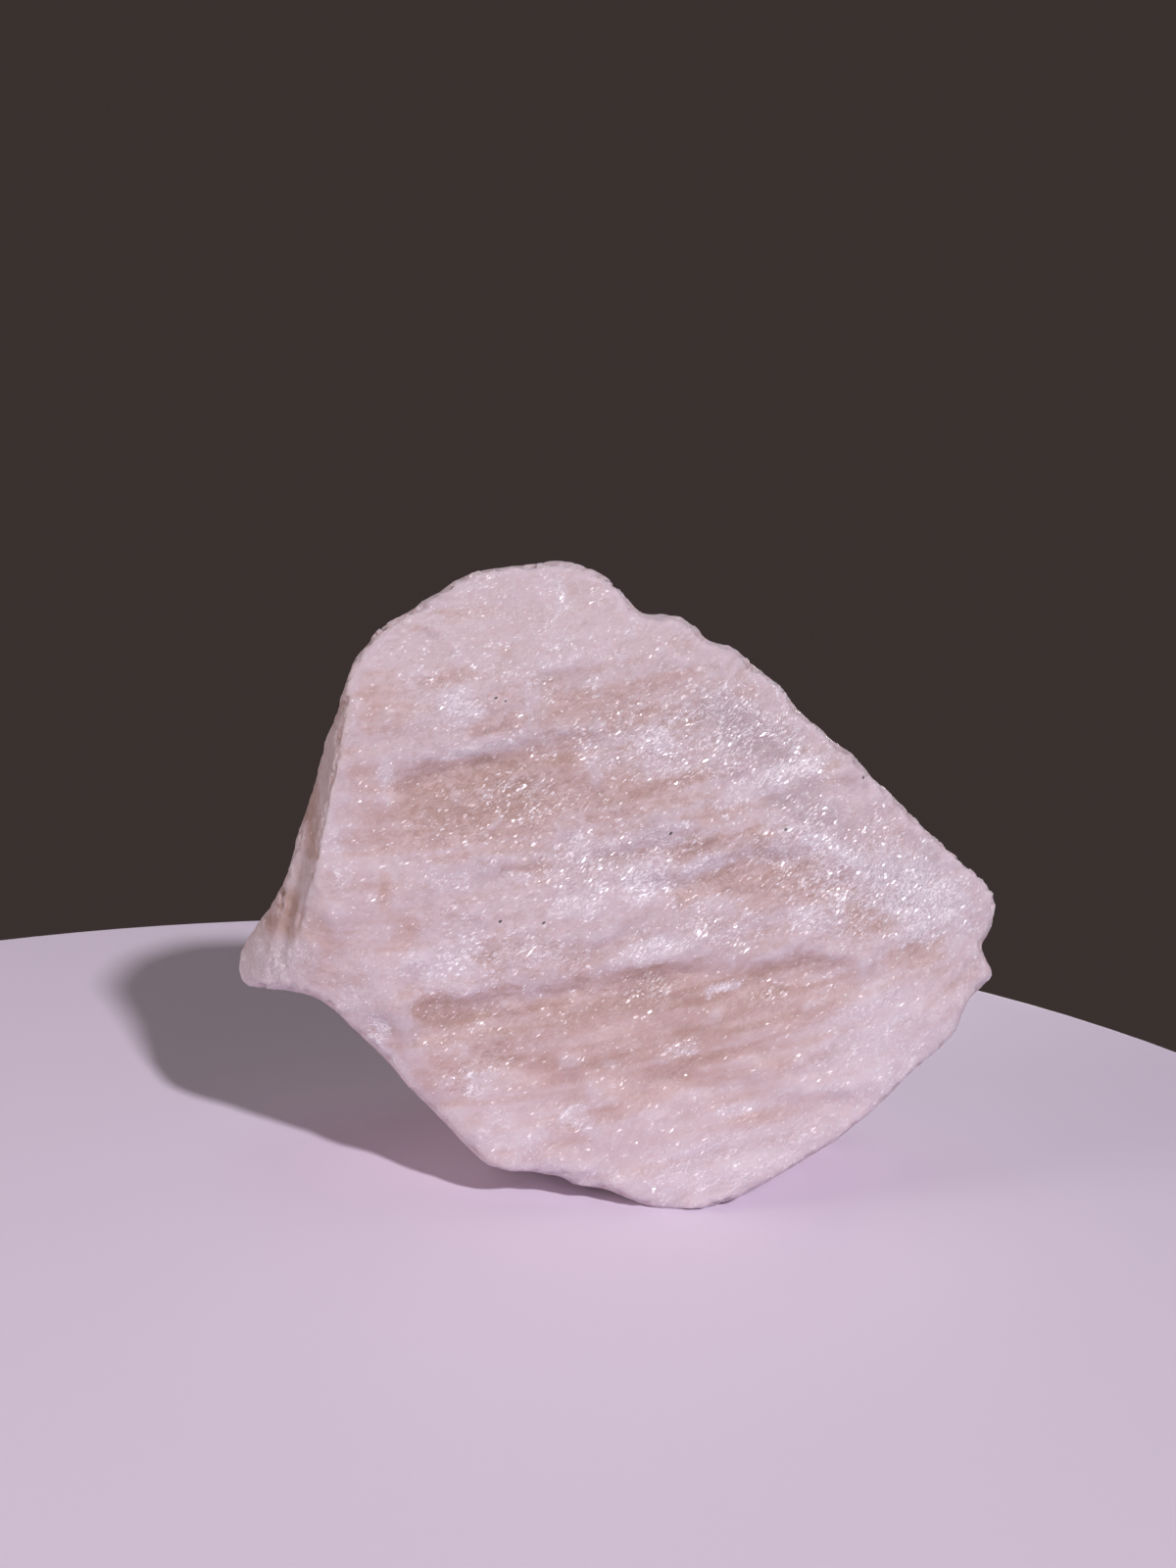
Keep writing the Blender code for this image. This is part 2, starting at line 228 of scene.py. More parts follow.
# Where it is white
frostZones = (
    (-4.0, 16.5, 9.0, 6.0, 5, 0.40), (-20.8, 1.5, 1.2, 1.8, 0, 0.75), (-13.2, 7.6, 2.6, 2.3, 0, 0.90),
    (-6.0, 8.4, 1.6, 3.0, 0, 0.60), (-12.0, 3.4, 5.0, 0.7, 8, 0.55), (6.5, 4.5, 1.8, 1.2, 0, 0.80),
    (20.5, 1.4, 6.4, 1.2, 19, 0.95), (-1.5, -6.0, 1.8, 1.1, 8, 0.70),
    (8.0, -4.6, 5.0, 0.6, 14, 0.55), (-12.0, -9.6, 8.0, 1.2, 8, 0.45), (-1.0, -12.2, 3.2, 1.9, 8, 0.85),
    (5.5, -10.2, 2.8, 1.9, 8, 1.00), (12.0, -8.2, 3.0, 0.6, 14, 0.75), (24.5, -6.4, 5.0, 1.1, -28, 0.90),
    (23.0, -13.6, 3.0, 1.3, -8, 0.75), (34.5, -11.5, 6.0, 4.2, -35, 0.90), (-14.0, -18.3, 4.4, 2.6, 8, 0.75),
    (7.0, -17.0, 3.6, 1.3, 8, 0.95), (31.0, -27.0, 8.0, 8.0, 0, 0.60), (14.0, -39.0, 12.0, 4.0, 12, 0.60),
    (-1.4, -33.8, 2.0, 0.9, 28, 0.70), (0.2, -35.4, 1.5, 0.9, -40, 0.65), (-26.5, -6.0, 1.6, 6.0, 10, 0.60),
    (-33.5, -18.4, 4.0, 3.0, 0, 1.00), (9.8, -27.4, 1.6, 0.8, 0, 0.55), (2.5, -28.0, 1.6, 0.6, 0, 0.35),
    (-11.0, -30.0, 2.0, 2.2, 0, 0.50), (13.3, -21.0, 1.7, 0.45, 12, 0.75), (11.9, -21.6, 0.4, 1.0, -35, 0.60),
    (-23.5, -22.5, 3.0, 2.2, -45, 0.60), (-1.0, -40.0, 8.0, 1.4, -8, 0.55), (16.0, -33.0, 4.0, 0.8, 8, 0.50),
    (-21.1, -24.8, 1.3, 0.9, -50, 1.00), (-20.0, -28.0, 1.0, 3.0, 30, 0.55),
    (-8.0, -36.0, 5.0, 2.5, -20, 0.45), (-3.1, 19.0, 0.5, 2.2, 0, 0.95),
)
# Where the stone is clear rather than milky, and looks grey
clearZones = (
    (16.8, 5.0, 6.0, 2.3, -36, 1.00), (21.8, -1.6, 5.2, 2.3, -35, 0.95), (34.6, -6.9, 2.4, 0.8, -35, 0.80),
    (13.0, 12.0, 2.0, 1.2, -30, 0.40), (-18.2, -25.2, 1.6, 1.4, 0, 0.50),
)
# Where single grains gather and glint
glintZones = (
    (9.0, 4.5, 9.5, 3.8, 0, 0.85), (17.0, 5.4, 7.0, 3.2, -35, 1.00), (-7.0, -1.5, 5.0, 2.6, 0, 0.60),
    (3.0, -8.0, 8.5, 3.2, 8, 0.80), (-5.0, -17.0, 5.0, 1.6, 0, 0.70), (13.0, -14.0, 4.5, 2.2, 0, 0.70),
    (27.0, -9.0, 10.0, 5.5, -30, 0.85), (6.0, -21.2, 3.0, 1.6, 0, 0.65), (-12.0, -29.5, 2.6, 2.6, 0, 0.50),
    (-21.3, -25.0, 1.4, 1.4, 0, 1.00), (19.0, -21.0, 3.6, 1.6, -10, 0.45), (-14.0, 8.0, 4.0, 3.0, 0, 0.45),
    (-0.6, -34.5, 2.2, 1.6, -20, 0.50), (9.8, -27.4, 1.9, 1.1, 0, 0.55),
)
# Where the broken face is smooth, like satin
satinZones = (
    (8.0, -30.0, 22.0, 9.0, 12, 1.00), (-24.0, -14.0, 6.0, 9.0, 0, 0.85), (31.0, -25.0, 8.0, 9.0, 0, 0.90),
    (-4.0, 17.0, 9.0, 4.0, 0, 0.50), (-22.5, 2.0, 4.0, 10.0, 0, 0.75), (30.0, -5.0, 9.0, 4.0, -35, 0.50),
    (-33.0, -16.0, 5.0, 6.0, 0, 1.00), (-6.0, -38.0, 14.0, 4.0, 0, 0.60), (-28.0, -2.0, 3.0, 14.0, 12, 1.00),
    (-18.0, -31.0, 4.0, 11.0, 42, 0.90), (9.0, -38.5, 14.0, 4.0, 8, 0.90),
)
# Right and up
darkSpecks = ((-9.2, 8.9), (-8.4, 8.5), (8.3, -5.2), (20.2, -4.6), (-4.4, -14.1), (-8.8, -14.0), (28.0, 0.6))


def duplicateNode(node, name):
    # the node's own mesh stays as it is, so a copy is merged and worked on
    deselectAll()
    original = frame["nodes"][node]
    original.select_set(True)
    bpy.context.view_layer.objects.active = original
    bpy.ops.object.duplicate()
    copy = bpy.context.object
    copy.name = name
    copy.data.name = name
    copy.parent = None
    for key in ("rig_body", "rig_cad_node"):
        if key in copy:
            del copy[key]
    bpy.ops.object.mode_set(mode="EDIT")
    bpy.ops.mesh.select_all(action="SELECT")
    bpy.ops.mesh.remove_doubles(threshold=stone["weld"] * mm)
    bpy.ops.object.mode_set(mode="OBJECT")
    return copy


def readPoints(obj):
    # places and normals of every point, in mm
    count = len(obj.data.vertices)
    points = np.empty(count * 3)
    normals = np.empty(count * 3)
    obj.data.vertices.foreach_get("co", points)
    obj.data.vertices.foreach_get("normal", normals)
    return points.reshape(-1, 3) / mm, normals.reshape(-1, 3)


def writePoints(obj, points):
    obj.data.vertices.foreach_set("co", (points * mm).ravel())
    obj.data.update()


def onFace(points):
    # where points show on the broad face: right, up, and how far they lie behind it
    away = points - np.array(face["eye"])
    depth = away @ np.array(faceIn)
    right = face["distance"] * (away @ np.array(faceRight)) / depth
    up = face["distance"] * (away @ np.array(faceUp)) / depth
    return right, up, depth - face["distance"]


def alongBands(points):
    # the same places measured along the growth bands, across them and up through them
    x = points[:, 0] + stone["bandStart"]
    climb = stone["bandRise"] * x
    steeper = stone["bandFan"] * x * x
    rise = points[:, 2] - climb - steeper - stone["bandBack"] * points[:, 1]
    return np.stack([points[:, 0], points[:, 1], rise], axis=1)


def smoothStep(low, high, value):
    t = np.clip((value - low) / (high - low), 0.0, 1.0)
    return t * t * (3.0 - 2.0 * t)


def fade(name, value):
    low, high = fades[name]
    return smoothStep(low, high, value)


def noiseField(name, spots):
    # Blender's own noise at many places
    size, seed, strength = stoneNoise[name]
    shift = Vector((seed, 2.0 * seed, -seed))
    return strength * np.array([noise.noise(Vector(spot) + shift) for spot in spots / np.array(size)])


def chipRelief(spots, size, depth):
    # flat chips: every cell of the pattern is a little plane with a tilt of its own
    found = np.empty(len(spots))
    for index, spot in enumerate(spots / np.array(size)):
        centre = noise.voronoi(Vector(spot))[1][0]
        tilt = 2.0 * noise.cell_vector(centre * stone["chipShuffle"]) - Vector((1.0, 1.0, 1.0))
        found[index] = (Vector(spot) - centre).dot(tilt)
    return depth * found


def stepRelief(spots, sway):
    # little treads along the bands: each one rises slowly and drops off at its lower edge
    pitch, height = stone["steps"]
    place = spots[:, 2] / pitch + sway
    part = place - np.floor(place)
    return height * (1.0 - part - fade("stepDrop", stone["stepDrop"] - part))


def zoneSum(zones, right, up):
    # soft ovals added up, each no stronger than 1
    total = np.zeros(len(right))
    for x, y, halfLength, halfHeight, turn, strength in zones:
        angle = math.radians(turn)
        along = ((right - x) * math.cos(angle) + (up - y) * math.sin(angle)) / halfLength
        across = ((up - y) * math.cos(angle) - (right - x) * math.sin(angle)) / halfHeight
        reach = along ** 2 + across ** 2
        oval = strength * np.exp(-ovals["steepness"] * reach ** ovals["flatness"])
        total = np.maximum(total, oval) + ovals["overlap"] * strength * np.exp(-reach)
    return np.clip(total, 0.0, 1.0)


def evenedOut(obj, points, rounds):
    # every point drawn to the middle of its neighbours, round after round
    pairs = np.empty(len(obj.data.edges) * 2, dtype=np.int32)
    obj.data.edges.foreach_get("vertices", pairs)
    first, second = pairs[0::2], pairs[1::2]
    count = len(points)
    shared = np.bincount(first, minlength=count) + np.bincount(second, minlength=count)
    for _ in range(rounds):
        total = np.stack([np.bincount(first, points[second, axis], count)
                          + np.bincount(second, points[first, axis], count) for axis in range(3)], axis=1)
        points = total / shared[:, None]
    return points


def standingOut(obj, points, normals, rounds):
    # how far each point stands out from those around it, in mm: edges do, and hollows lie in
    return np.einsum("ij,ij->i", points - evenedOut(obj, points, rounds), normals)


def paint(obj, name, values):
    layer = obj.data.attributes.new(name, "FLOAT", "POINT")
    layer.data.foreach_set("value", values.astype(np.float32))


stonePiece = duplicateNode(stone["node"], stone["name"])
applyModifier(stonePiece, "REMESH", "skin", mode="VOXEL", voxel_size=stone["skinVoxel"] * mm)
applyModifier(stonePiece, "SMOOTH", "relax", factor=stone["smoothing"], iterations=stone["relax"])
points, normals = readPoints(stonePiece)
edge = fade("edge", np.abs(standingOut(stonePiece, points, normals, stone["edgeRounds"])))
flats = stonePiece.vertex_groups.new(name="flats")
for index, share in enumerate(1.0 - edge):
    flats.add((index,), share, "REPLACE")
applyModifier(stonePiece, "SMOOTH", "evenFlats", factor=stone["smoothing"],
              iterations=stone["evenFlats"], vertex_group="flats")
stonePiece.vertex_groups.clear()
print("stone skin:", len(stonePiece.data.polygons), "faces")

# where the zones of grain and smoothness lie on the skin
points, normals = readPoints(stonePiece)
right, up = onFace(points)[:2]
spots = alongBands(points)
facing = -normals @ np.array(faceIn)
front = fade("front", facing)
back = fade("back", -facing)
wander = noiseField("wander", spots)
wanderUp = noiseField("wanderUp", spots)
frost = zoneSum(frostZones, right + wander, up + wanderUp) * front
glint = zoneSum(glintZones, right + wander, up + wanderUp) * front
lessWander = stone["clearWander"]
clear = zoneSum(clearZones, right + lessWander * wander, up + lessWander * wanderUp) * front
satin = zoneSum(satinZones, right + wander, up + wanderUp)
satin = satin * (1.0 - back) * (1.0 - stone["glintSatin"] * glint)
rough = 1.0 - stone["satinCalm"] * satin

# the relief that is too fine for the CAD solid
sway = noiseField("sway", spots) + noiseField("fineSway", spots)
stepped = fade("stepped", noiseField("stepped", spots))
relief = rough * stepped * stepRelief(spots, sway)
for size, depth in stone["chips"]:
    relief += rough * chipRelief(spots, size, depth)
backSize, backDepth = stone["backChips"]
relief += back * chipRelief(spots, backSize, backDepth)
grained = stone["plainGrain"] + stone["frostGrain"] * np.maximum(frost, glint)
relief += stone["grain"] * rough * grained * noiseField("grain", spots)
# bites out of the rim, where the skin turns sharply and looks neither to the front nor to the back
bites = np.zeros(len(points))
for size, depth in stone["rimBites"]:
    bites += np.maximum(0.0, chipRelief(spots, size, depth))
ridge = standingOut(stonePiece, points, normals, stone["edgeRounds"])
rim = fade("rim", ridge) * fade("rimTurn", -facing) * (1.0 - back)
relief -= stone["rimChips"] * (1.0 - stone["satinRim"] * satin) * rim * bites
relief -= stone["inset"]
# the flat that the stone rests on stays flat
relief *= fade("rest", points[:, 2])
# nothing may stand out of the CAD box
points = np.clip(points + relief[:, None] * normals, np.array(cadLow) / mm, np.array(cadHigh) / mm)
writePoints(stonePiece, points)
print("stone relief done")

# zones of colour: listed for the broad face, bands through the rest
points, normals = readPoints(stonePiece)
right, up, behind = onFace(points)
spots = alongBands(points)
bands = noiseField("bands", spots) + noiseField("fineBands", spots)
streaks = noiseField("streaks", spots)
shown = np.maximum(front, fade("shown", behind) * (1.0 - back))
faceBlush = zoneSum(blushZones, right + wander, up + wanderUp)
blush = shown * faceBlush + (1.0 - shown) * fade("hiddenBlush", bands)
whereItIs, anywhere = stone["streakBlush"]
blush = np.clip(blush * (1.0 + whereItIs * streaks) + anywhere * streaks, 0.0, 1.0)
toeFrost = zoneSum(frostZones, right, up) * fade("toe", right)
hiddenFrost = (1.0 - shown) * stone["hiddenFrost"] * fade("hiddenFrost", -bands)
frost = np.maximum(shown * np.maximum(frost, toeFrost), hiddenFrost)
ridge = standingOut(stonePiece, points, normals, stone["fineEdgeRounds"])
speck = np.zeros(len(points))
for x, y in darkSpecks:
    distance = np.hypot(right - x, up - y) + stone["speckAside"] * (1.0 - front)
    speck[np.argmin(distance)] = 1.0
paint(stonePiece, "blush", blush)
paint(stonePiece, "frost", frost)
paint(stonePiece, "glint", np.maximum(glint, stone["leastGlint"]))
paint(stonePiece, "clear", clear)
paint(stonePiece, "satin", satin)
paint(stonePiece, "speck", speck)
# the edges are painted pale, as the glow of light through the thin rims
paint(stonePiece, "paintedRimGlow", fade("paintedRimGlow", ridge))
# the hollows are painted a deeper pink, as shade
paint(stonePiece, "hollow", fade("hollow", -ridge))
bandLayer = stonePiece.data.attributes.new("bandPlace", "FLOAT_VECTOR", "POINT")
bandLayer.data.foreach_set("vector", spots.astype(np.float32).ravel())
makeActive(stonePiece)
bpy.ops.object.shade_smooth()
print("stone zones painted")


# Materials

# The nodes stand in columns, in the order in which they are added
nodeGrid = {
    "rows": 9,
    "across": 220,
    "down": 200,
    "left": -3300,
    "top": 1100,
}


def newMaterial(name):
    material = bpy.data.materials.new(name)
    material.use_nodes = True
    return material, material.node_tree.nodes["Principled BSDF"]


def addNode(tree, kind, inputs, **settings):
    node = tree.nodes.new(kind)
    column, row = divmod(len(tree.nodes), nodeGrid["rows"])
    node.location = (nodeGrid["left"] + column * nodeGrid["across"], nodeGrid["top"] - row * nodeGrid["down"])
    for key, value in settings.items():
        setattr(node, key, value)
    for key, value in inputs.items():
        if isinstance(value, bpy.types.NodeSocket):
            tree.links.new(value, node.inputs[key])
        else:
            node.inputs[key].default_value = value
    return node


def addMath(tree, operation, first, second=0.0, clamp=False):
    return addNode(tree, "ShaderNodeMath", {0: first, 1: second},
                   operation=operation, use_clamp=clamp).outputs[0]


def addVector(tree, operation, inputs):
    return addNode(tree, "ShaderNodeVectorMath", inputs, operation=operation).outputs[0]


def addRange(tree, value, limits):
    # limits: from, to, and what these two become
    keys = ("From Min", "From Max", "To Min", "To Max")
    return addNode(tree, "ShaderNodeMapRange", {"Value": value, **dict(zip(keys, limits))}).outputs[0]


def addMix(tree, share, first, second, blend="MIX"):
    # on a Mix node, sockets 6 and 7 are its two colours, and output 2 is the mixed one
    return addNode(tree, "ShaderNodeMix", {"Factor": share, 6: first, 7: second},
                   data_type="RGBA", blend_type=blend).outputs[2]


def addMapping(tree, vector, key, value):
    return addNode(tree, "ShaderNodeMapping", {"Vector": vector, key: value}).outputs[0]


def addNoise(tree, vector, pattern):
    scale, detail, roughness, distortion = pattern
    return addNode(tree, "ShaderNodeTexNoise", {
        "Vector": vector, "Scale": scale, "Detail": detail, "Roughness": roughness, "Distortion": distortion})


def addCells(tree, vector, scale):
    cells = addNode(tree, "ShaderNodeTexVoronoi", {"Vector": vector, "Scale": scale}, feature="F1")
    parts = addNode(tree, "ShaderNodeSeparateColor", {"Color": cells.outputs["Color"]})
    return cells.outputs["Color"], cells.outputs["Distance"], parts.outputs


def readAttribute(tree, name):
    return addNode(tree, "ShaderNodeAttribute", {}, attribute_name=name, attribute_type="GEOMETRY")


crystal = {
    "milk": (0.59, 0.468, 0.505, 1.0),      # pale pink white, the clouded crystal
    "rose": (0.535, 0.377, 0.372, 1.0),     # dusty pink
    "deep": (0.44, 0.285, 0.255, 1.0),      # brownish pink, where one sees in deepest
    "clear": (0.495, 0.392, 0.428, 1.0),    # grey, where it is nearly clear
    "veil": (0.605, 0.522, 0.585, 1.0),     # white veils
    "sugarAndGlintWhite": (0.92, 0.85, 0.92, 1.0),       # single white grains, partly real sugary grains and partly painted glints
    "dark": (0.05, 0.04, 0.04, 1.0),        # specks
    "ior": 1.58,
    "spread": (1.0, 0.72, 0.68),            # how light spreads inside, by its colour
    "depth": 1.5 * mm,                      # and how far it does
    "glintRoughness": 0.27,
    "glintIor": 1.9,
    # how much a pattern is drawn out along, across and up the bands
    "streakStretch": (0.07, 0.25, 0.72),
    "cloudStretch": (0.7, 0.8, 1.0),
    "grainStretch": (2.2, 4.6, 6.2),
    "grainTurn": (0.0, math.radians(28.0), 0.0),
    # noise: scale, detail, roughness, distortion
    "streakNoise": (1.0, 1.5, 0.45, 0.5),
    "cloudNoise": (0.42, 9.0, 0.74, 0.6),
    "fleckNoise": (1.6, 7.0, 0.76, 0.5),
    "bendNoise": (0.55, 4.0, 0.7, 0.0),
    "clusterNoise": (0.55, 8.0, 0.8, 0.8),
    "crackNoise": (0.22, 5.0, 0.65, 1.2),
    "bend": 1.1,                            # mm that the rows of grains are bent
    "grainCells": 1.0,                      # cells to a mm, times the stretch
    "shardCells": 1.9,
    "grainShuffle": 9.7,                    # makes a second chance out of a grain's first one
    "noiseMiddle": 0.5,
    # a grain or shard takes its tilt from its random colour, and with this colour it has none
    "grainUntilted": (0.40, 0.5, 0.40),
    "shardUntilted": (0.5, 0.5, 0.5),
}

# Each one: from, to, and what these two become
crystalRanges = {
    "calm": (0.0, 1.0, 1.0, 0.35),          # smooth zones show less of the fine patterns,
    "streak": (0.35, 0.65, -1.0, 1.0),
    "cloud": (0.3, 0.7, -1.0, 1.0),
    "fleck": (0.3, 0.7, -1.0, 1.0),
    "grainTone": (0.0, 1.0, -0.12, 0.12),
    "shardTone": (0.0, 1.0, -0.16, 0.16),
    "stripes": (0.0, 1.0, 0.22, 0.30),      # but more of the streaks
    "rose": (0.0, 0.55, 0.0, 1.0),
    "deep": (0.55, 1.1, 0.0, 1.0),
    "clear": (0.2, 0.9, 0.0, 0.9),
    "veils": (0.3, 0.85, 0.0, 0.75),
    "clusters": (0.42, 0.62, 0.0, 1.0),
    "whitest": (0.85, 1.0, 0.0, 0.9),
    "sparse": (0.0, 1.0, 0.08, 1.0),        # few grains outside their clusters
    "grainReach": (0.0, 1.0, 0.3, 0.9),
    "grainEdge": (0.6, 1.0, 1.0, 0.0),
    "cracks": (0.004, 0.03, 1.0, 0.0),
    "brightness": (-0.28, 0.28, 1.06, 0.94),
    "speck": (0.45, 0.7, 0.0, 1.0),
    "shine": (0.0, 1.0, 0.12, 1.5),
    "roughness": (0.0, 1.0, 0.42, 0.58),
    "inside": (0.0, 1.0, 0.55, 0.05),       # the white lies at the surface, so light goes less deep there
}

# How much of one pattern goes into another
crystalShares = {
    "fleckBlush": 0.24,
    "hollowShade": 0.15,
    "fleckClear": 0.4,
    "cloudFrost": 0.6,
    "fleckFrost": 0.45,
    "rimGlowVeil": 0.55,
    # how many white grains, partly painted glints, the veils and the glinting zones gather
    "veilGrains": 0.55,
    "glintGrains": 0.62,
    "cracks": 2.6,
    # how strongly the white grains, partly painted glints, show in the colour
    "sugarAndGlintWhite": 0.9,
    "plainShine": 0.25,
    "shinePower": 1.6,                      # how uneven the glints are
    "shardTilt": 0.15,
    "grainHeight": 0.2,
    "fleckHeight": 0.22,
    "crumbHeight": 0.7,
    "bump": 0.5,
    "bumpDepth": 0.3 * mm,
}


def crystalPatterns(tree):
    # what the colours, the glints and the bumps are made from, by name
    place = readAttribute(tree, "bandPlace").outputs["Vector"]
    found = {}
    for name in ("blush", "frost", "glint", "clear", "satin", "speck", "paintedRimGlow", "hollow"):
        found[name] = readAttribute(tree, name).outputs["Fac"]
    calm = addRange(tree, found["satin"], crystalRanges["calm"])

    # long streaks lie in the bands, with clouds, ragged patches and flecks over them
    stretched = addMapping(tree, place, "Scale", crystal["streakStretch"])
    cloudPlace = addMapping(tree, place, "Scale", crystal["cloudStretch"])
    streak = addNoise(tree, stretched, crystal["streakNoise"]).outputs[0]
    cloud = addNoise(tree, cloudPlace, crystal["cloudNoise"]).outputs[0]
    fleck = addNoise(tree, cloudPlace, crystal["fleckNoise"]).outputs[0]
    found["streak"] = addRange(tree, streak, crystalRanges["streak"])
    found["cloud"] = addMath(tree, "MULTIPLY", addRange(tree, cloud, crystalRanges["cloud"]), calm)
    found["fleck"] = addMath(tree, "MULTIPLY", addRange(tree, fleck, crystalRanges["fleck"]), calm)

    # small crystals: slanted grains in bent rows, and the larger shards between them
    bend = addNoise(tree, place, crystal["bendNoise"]).outputs["Color"]
    bend = addVector(tree, "SCALE", {0: bend, "Scale": crystal["bend"]})
    bent = addVector(tree, "ADD", {0: place, 1: bend})
    turned = addMapping(tree, bent, "Rotation", crystal["grainTurn"])
    grainPlace = addMapping(tree, turned, "Scale", crystal["grainStretch"])
    grainColor, grainDistance, grainParts = addCells(tree, grainPlace, crystal["grainCells"])
    shardColor, _, shardParts = addCells(tree, cloudPlace, crystal["shardCells"])
    shuffled = addMath(tree, "MULTIPLY", grainParts[1], crystal["grainShuffle"])
    chance = addMath(tree, "FRACT", shuffled)

    # each one is a little pinker or paler
    grainTone = addRange(tree, chance, crystalRanges["grainTone"])
    shardTone = addRange(tree, shardParts[0], crystalRanges["shardTone"])
    mottle = addMath(tree, "ADD", grainTone, shardTone)
    clusters = addNoise(tree, cloudPlace, crystal["clusterNoise"]).outputs[0]
    clusters = addRange(tree, clusters, crystalRanges["clusters"])
    # the whitest spots gather the most grains, and so show as clusters of painted glints
    whitest = addRange(tree, found["frost"], crystalRanges["whitest"])
    found.update({
        "calm": calm,
        "mottle": addMath(tree, "MULTIPLY", mottle, calm),
        "clusters": addMath(tree, "MAXIMUM", clusters, whitest),
        "grainPlace": grainPlace,
        "grainColor": grainColor,
        "grainDistance": grainDistance,
        "grainNumber": grainParts[1],
        "grainChance": chance,
        "shardColor": shardColor,
    })
    return found


def pinkCrystal(tree, found):
    # from milky to deep pink, and grey where the stone is clear
    stripes = addRange(tree, found["satin"], crystalRanges["stripes"])
    stripes = addMath(tree, "MULTIPLY", found["streak"], stripes)
    blush = addMath(tree, "ADD", found["blush"], stripes)
    # flecks add pink, and the hollows a deeper pink as painted shade
    for name, share in (("fleck", "fleckBlush"), ("hollow", "hollowShade")):
        blush = addMath(tree, "ADD", blush, addMath(tree, "MULTIPLY", found[name], crystalShares[share]))
    blush = addMath(tree, "ADD", blush, found["mottle"])
    pink = addMix(tree, addRange(tree, blush, crystalRanges["rose"]), crystal["milk"], crystal["rose"])
    pink = addMix(tree, addRange(tree, blush, crystalRanges["deep"]), pink, crystal["deep"])
    ragged = addMath(tree, "MULTIPLY", found["fleck"], crystalShares["fleckClear"])
    clear = addMath(tree, "ADD", found["clear"], ragged)
    return addMix(tree, addRange(tree, clear, crystalRanges["clear"]), pink, crystal["clear"])


def frostPattern(tree, found):
    # the white zones with ragged outlines
    frost = found["frost"]
    for name, share in (("cloud", "cloudFrost"), ("fleck", "fleckFrost")):
        frost = addMath(tree, "ADD", frost, addMath(tree, "MULTIPLY", found[name], crystalShares[share]))
    return frost


def sugarGrainsAndPaintedGlints(tree, found, veils):
    # single white grains that gather in clusters, partly real sugary grains and partly painted glints, and
    # the fine white cracks between them
    veilGrains = addMath(tree, "MULTIPLY", veils, crystalShares["veilGrains"])
    glintGrains = addMath(tree, "MULTIPLY", found["glint"], crystalShares["glintGrains"])
    gathered = addMath(tree, "ADD", veilGrains, glintGrains)
    gathered = addMath(tree, "MULTIPLY", gathered, addRange(tree, found["clusters"], crystalRanges["sparse"]))
    chosen = addMath(tree, "MULTIPLY", gathered, found["calm"])
    chosen = addMath(tree, "LESS_THAN", found["grainNumber"], chosen)
    reach = addRange(tree, found["grainChance"], crystalRanges["grainReach"])
    core = addMath(tree, "DIVIDE", found["grainDistance"], reach)
    core = addRange(tree, core, crystalRanges["grainEdge"])
    grainsAndPaintedGlints = addMath(tree, "MULTIPLY", chosen, core, True)
    cracks = addNoise(tree, found["grainPlace"], crystal["crackNoise"]).outputs[0]
    cracks = addMath(tree, "ABSOLUTE", addMath(tree, "SUBTRACT", cracks, crystal["noiseMiddle"]))
    cracks = addRange(tree, cracks, crystalRanges["cracks"])
    crackShare = addMath(tree, "MULTIPLY", gathered, crystalShares["cracks"])
    cracks = addMath(tree, "MULTIPLY", cracks, crackShare, True)
    return addMath(tree, "MAXIMUM", grainsAndPaintedGlints, cracks)


def crystalColor(tree, found, veils, grainsAndPaintedGlints):
    # the pink, then white veils, pale edges painted as the glow of light through the thin rims, white grains
    # that are partly painted glints, and the dark specks over it
    white = addMix(tree, veils, pinkCrystal(tree, found), crystal["veil"])
    # painted rim glow: the edges turn towards the white veil colour
    rimGlow = addMath(tree, "MULTIPLY", found["paintedRimGlow"], crystalShares["rimGlowVeil"])
    white = addMix(tree, rimGlow, white, crystal["veil"])
    white = addMix(tree, addMath(tree, "MULTIPLY", grainsAndPaintedGlints, crystalShares["sugarAndGlintWhite"]), white, crystal["sugarAndGlintWhite"])
    brightness = addRange(tree, found["mottle"], crystalRanges["brightness"])
    white = addMix(tree, 1.0, white, brightness, "MULTIPLY")
    return addMix(tree, addRange(tree, found["speck"], crystalRanges["speck"]), white, crystal["dark"])


def tiltedNormal(tree, normal, tilt):
    tilted = addVector(tree, "ADD", {0: normal, 1: tilt})
    return addVector(tree, "NORMALIZE", {0: tilted})


